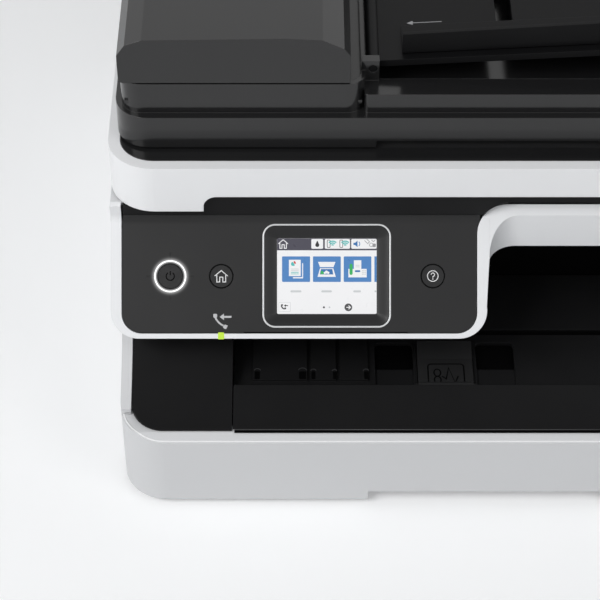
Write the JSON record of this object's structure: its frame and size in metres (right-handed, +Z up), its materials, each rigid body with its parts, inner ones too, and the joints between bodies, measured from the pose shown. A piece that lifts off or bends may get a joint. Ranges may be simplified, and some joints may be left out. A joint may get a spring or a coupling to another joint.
{
  "type": "inkjet printer",
  "caption": "All-in-one ink tank inkjet printer with a tilting touch panel, front paper cassette, output tray, flatbed scanner and sheet feeder.",
  "frame": {"origin": "on the resting plane, under the middle of the body", "axes": "+X to the right seen from the front, +Y to the back, +Z up"},
  "size_m": [0.375, 0.347, 0.232],
  "materials": {
    "white_shell": "fine satin moulded texture",
    "black_satin": "fine satin moulded texture",
    "black_gloss": "polished",
    "dark_grey": "moulded",
    "rubber_feet": "matt",
    "zinc_steel": "zinc plated sheet",
    "polished_steel": "ground and polished",
    "motor_steel": "drawn can",
    "roller_black": "coated",
    "rubber_roller": "ground rubber",
    "gear_plastic": "acetal",
    "brass_pulley": "turned",
    "belt_rubber": "matt",
    "circuit_board": "solder mask",
    "pale_plastic": "moulded",
    "clear_glass": "polished",
    "screen_glass": "lit display behind a clear window",
    "button_black": "semi-gloss",
    "tank_clear_black": "clear tank with ink",
    "tank_clear_cyan": "clear tank with ink",
    "tank_clear_magenta": "clear tank with ink",
    "tank_clear_yellow": "clear tank with ink",
    "cap_black_rubber": "moulded",
    "cap_cyan_rubber": "moulded",
    "cap_magenta_rubber": "moulded",
    "cap_yellow_rubber": "moulded"
  },
  "bodies": {
    "chassis": {"base_frame": "dark_grey", "feet": "rubber_feet", "left_side_cover": "white_shell", "right_side_cover": "white_shell", "rear_panel": "white_shell", "front_panels": "black_satin", "top_frame": "black_satin", "panel_housing": "white_shell", "tank_housing": "white_shell", "tank_window": "black_gloss", "tank_black": "tank_clear_black", "tank_cyan": "tank_clear_cyan", "tank_magenta": "tank_clear_magenta", "tank_yellow": "tank_clear_yellow", "mechanism_frame": "zinc_steel", "carriage_rail": "polished_steel", "platen": "dark_grey", "motors": "motor_steel", "carriage_belt": "belt_rubber", "main_board": "circuit_board", "power_supply": "dark_grey", "rear_sockets": "dark_grey"},
    "ink_cap_black": {"cap_black": "cap_black_rubber"},
    "ink_cap_cyan": {"cap_cyan": "cap_cyan_rubber"},
    "ink_cap_magenta": {"cap_magenta": "cap_magenta_rubber"},
    "ink_cap_yellow": {"cap_yellow": "cap_yellow_rubber"},
    "tank_lid": {"tank_cover": "white_shell"},
    "feed": {"feed_roller": "roller_black"},
    "exit": {"exit_roller": "roller_black"},
    "pinion": {"motor_pinion": "gear_plastic"},
    "belt_drive": {"drive_pulley": "brass_pulley"},
    "belt_idler": {"idle_pulley": "gear_plastic"},
    "carriage": {"print_carriage": "dark_grey", "print_head": "dark_grey"},
    "rear_unit": {"duplex_cover": "white_shell"},
    "waste_box": {"maintenance_box": "pale_plastic"},
    "pickup": {"pickup_arm": "dark_grey"},
    "pickup_wheel": {"pickup_roller": "rubber_roller"},
    "cassette": {"cassette_tray": "white_shell"},
    "guide_left": {"left_paper_guide": "dark_grey"},
    "guide_right": {"right_paper_guide": "dark_grey"},
    "guide_rear": {"rear_paper_guide": "dark_grey"},
    "out_tray": {"output_tray": "black_satin"},
    "extension": {"tray_extension": "black_satin"},
    "stopper": {"tray_stopper": "black_satin"},
    "panel": {"panel_fascia": "black_satin", "screen": "screen_glass"},
    "power_key": {"power_button": "button_black"},
    "home_key": {"home_button": "button_black"},
    "help_key": {"help_button": "button_black"},
    "scanner": {"scanner_base": "white_shell", "scanner_deck": "black_gloss", "scan_glass": "clear_glass"},
    "scan_bar": {"scan_carriage": "dark_grey"},
    "lid": {"document_cover": "black_gloss"},
    "feeder_cover": {"adf_cover": "black_gloss"},
    "feeder_tray": {"adf_tray": "black_satin"},
    "feeder_guide_front": {"adf_front_guide": "black_satin"},
    "feeder_guide_rear": {"adf_rear_guide": "black_satin"},
    "feeder_wheel": {"adf_roller": "rubber_roller"}
  },
  "joints": [
    {"name": "scanner_open", "type": "hinge", "parent": "chassis", "child": "scanner", "pos_m": [0, 0.1624, 0.1446], "axis": [-1, 0, 0], "range_deg": [0, 35]},
    {"name": "lid_open", "type": "hinge", "parent": "scanner", "child": "lid", "pos_m": [0, 0.159, 0.175], "axis": [-1, 0, 0], "range_deg": [0, 80]},
    {"name": "feeder_cover_open", "type": "hinge", "parent": "lid", "child": "feeder_cover", "pos_m": [-0.1774, 0.03, 0.2084], "axis": [0, -1, 0], "range_deg": [0, 80]},
    {"name": "feeder_tray_open", "type": "hinge", "parent": "lid", "child": "feeder_tray", "pos_m": [-0.06, 0.03, 0.206], "axis": [0, -1, 0], "range_deg": [0, 30]},
    {"name": "feeder_guide_front_slide", "type": "slide", "parent": "feeder_tray", "child": "feeder_guide_front", "axis": [0, 1, 0], "range_m": [0, 0.055]},
    {"name": "feeder_guide_rear_slide", "type": "slide", "parent": "feeder_tray", "child": "feeder_guide_rear", "axis": [0, -1, 0], "range_m": [0, 0.055]},
    {"name": "feeder_wheel_spin", "type": "hinge", "parent": "lid", "child": "feeder_wheel", "pos_m": [-0.092, 0.03, 0.2046], "axis": [0, 1, 0], "continuous": true},
    {"name": "scan_bar_slide", "type": "slide", "parent": "scanner", "child": "scan_bar", "axis": [1, 0, 0], "range_m": [0, 0.298]},
    {"name": "panel_tilt", "type": "hinge", "parent": "chassis", "child": "panel", "pos_m": [-0.0949, -0.102, 0.12796], "axis": [-1, 0, 0], "range_deg": [0, 35]},
    {"name": "power_press", "type": "slide", "parent": "panel", "child": "power_key", "axis": [0, 0.7071, -0.7071], "range_m": [0, 0.001], "stiffness_N_per_m": 400},
    {"name": "home_press", "type": "slide", "parent": "panel", "child": "home_key", "axis": [0, 0.7071, -0.7071], "range_m": [0, 0.001], "stiffness_N_per_m": 400},
    {"name": "help_press", "type": "slide", "parent": "panel", "child": "help_key", "axis": [0, 0.7071, -0.7071], "range_m": [0, 0.001], "stiffness_N_per_m": 400},
    {"name": "tank_lid_open", "type": "hinge", "parent": "chassis", "child": "tank_lid", "pos_m": [0.1395, -0.10652, 0.124], "axis": [-1, 0, 0], "range_deg": [0, 75]},
    {"name": "ink_cap_black_open", "type": "hinge", "parent": "chassis", "child": "ink_cap_black", "pos_m": [0.1101, -0.0996, 0.1016], "axis": [-1, 0, 0], "range_deg": [0, 90]},
    {"name": "ink_cap_cyan_open", "type": "hinge", "parent": "chassis", "child": "ink_cap_cyan", "pos_m": [0.1305, -0.0996, 0.1016], "axis": [-1, 0, 0], "range_deg": [0, 90]},
    {"name": "ink_cap_magenta_open", "type": "hinge", "parent": "chassis", "child": "ink_cap_magenta", "pos_m": [0.1509, -0.0996, 0.1016], "axis": [-1, 0, 0], "range_deg": [0, 90]},
    {"name": "ink_cap_yellow_open", "type": "hinge", "parent": "chassis", "child": "ink_cap_yellow", "pos_m": [0.1713, -0.0996, 0.1016], "axis": [-1, 0, 0], "range_deg": [0, 90]},
    {"name": "carriage_travel", "type": "slide", "parent": "chassis", "child": "carriage", "axis": [-1, 0, 0], "range_m": [0, 0.235]},
    {"name": "belt_drive_spin", "type": "hinge", "parent": "chassis", "child": "belt_drive", "pos_m": [0.166, 0.036, 0.112], "axis": [0, 1, 0], "range_deg": [-30, 2300]},
    {"name": "belt_idler_spin", "type": "hinge", "parent": "chassis", "child": "belt_idler", "pos_m": [-0.166, 0.036, 0.112], "axis": [0, 1, 0], "range_deg": [-30, 2300]},
    {"name": "feed_spin", "type": "hinge", "parent": "chassis", "child": "feed", "pos_m": [0, 0.028, 0.08], "axis": [1, 0, 0], "continuous": true},
    {"name": "exit_spin", "type": "hinge", "parent": "chassis", "child": "exit", "pos_m": [0, -0.048, 0.08], "axis": [1, 0, 0], "continuous": true},
    {"name": "pinion_spin", "type": "hinge", "parent": "chassis", "child": "pinion", "pos_m": [-0.154, -0.01, 0.08], "axis": [1, 0, 0], "continuous": true},
    {"name": "cassette_slide", "type": "slide", "parent": "chassis", "child": "cassette", "axis": [0, -1, 0], "range_m": [0, 0.25]},
    {"name": "guide_left_slide", "type": "slide", "parent": "cassette", "child": "guide_left", "axis": [1, 0, 0], "range_m": [0, 0.055]},
    {"name": "guide_right_slide", "type": "slide", "parent": "cassette", "child": "guide_right", "axis": [-1, 0, 0], "range_m": [0, 0.055]},
    {"name": "guide_rear_slide", "type": "slide", "parent": "cassette", "child": "guide_rear", "axis": [0, -1, 0], "range_m": [0, 0.04]},
    {"name": "pickup_drop", "type": "hinge", "parent": "chassis", "child": "pickup", "pos_m": [-0.018, 0.066, 0.066], "axis": [-1, 0, 0], "range_deg": [0, 38]},
    {"name": "pickup_wheel_spin", "type": "hinge", "parent": "pickup", "child": "pickup_wheel", "pos_m": [-0.018, 0.116, 0.06], "axis": [1, 0, 0], "continuous": true},
    {"name": "out_tray_slide", "type": "slide", "parent": "chassis", "child": "out_tray", "axis": [0, -1, 0], "range_m": [0, 0.1]},
    {"name": "extension_slide", "type": "slide", "parent": "out_tray", "child": "extension", "axis": [0, -1, 0], "range_m": [0, 0.085]},
    {"name": "stopper_lift", "type": "hinge", "parent": "out_tray", "child": "stopper", "pos_m": [-0.02095, -0.1414, 0.0546], "axis": [1, 0, 0], "range_deg": [0, 75]},
    {"name": "rear_unit_pull", "type": "slide", "parent": "chassis", "child": "rear_unit", "axis": [0, 1, 0], "range_m": [0, 0.09]},
    {"name": "waste_box_pull", "type": "slide", "parent": "chassis", "child": "waste_box", "axis": [0, 1, 0], "range_m": [0, 0.075]}
  ],
  "couplings": [
    {"joint": "feeder_guide_rear_slide", "follows": "feeder_guide_front_slide", "ratio": 1},
    {"joint": "guide_right_slide", "follows": "guide_left_slide", "ratio": 1},
    {"joint": "exit_spin", "follows": "feed_spin", "ratio": 1},
    {"joint": "pinion_spin", "follows": "feed_spin", "ratio": -0.58333},
    {"joint": "belt_drive_spin", "follows": "carriage_travel", "rad_per_m": 166.67},
    {"joint": "belt_idler_spin", "follows": "carriage_travel", "rad_per_m": 166.67}
  ]
}
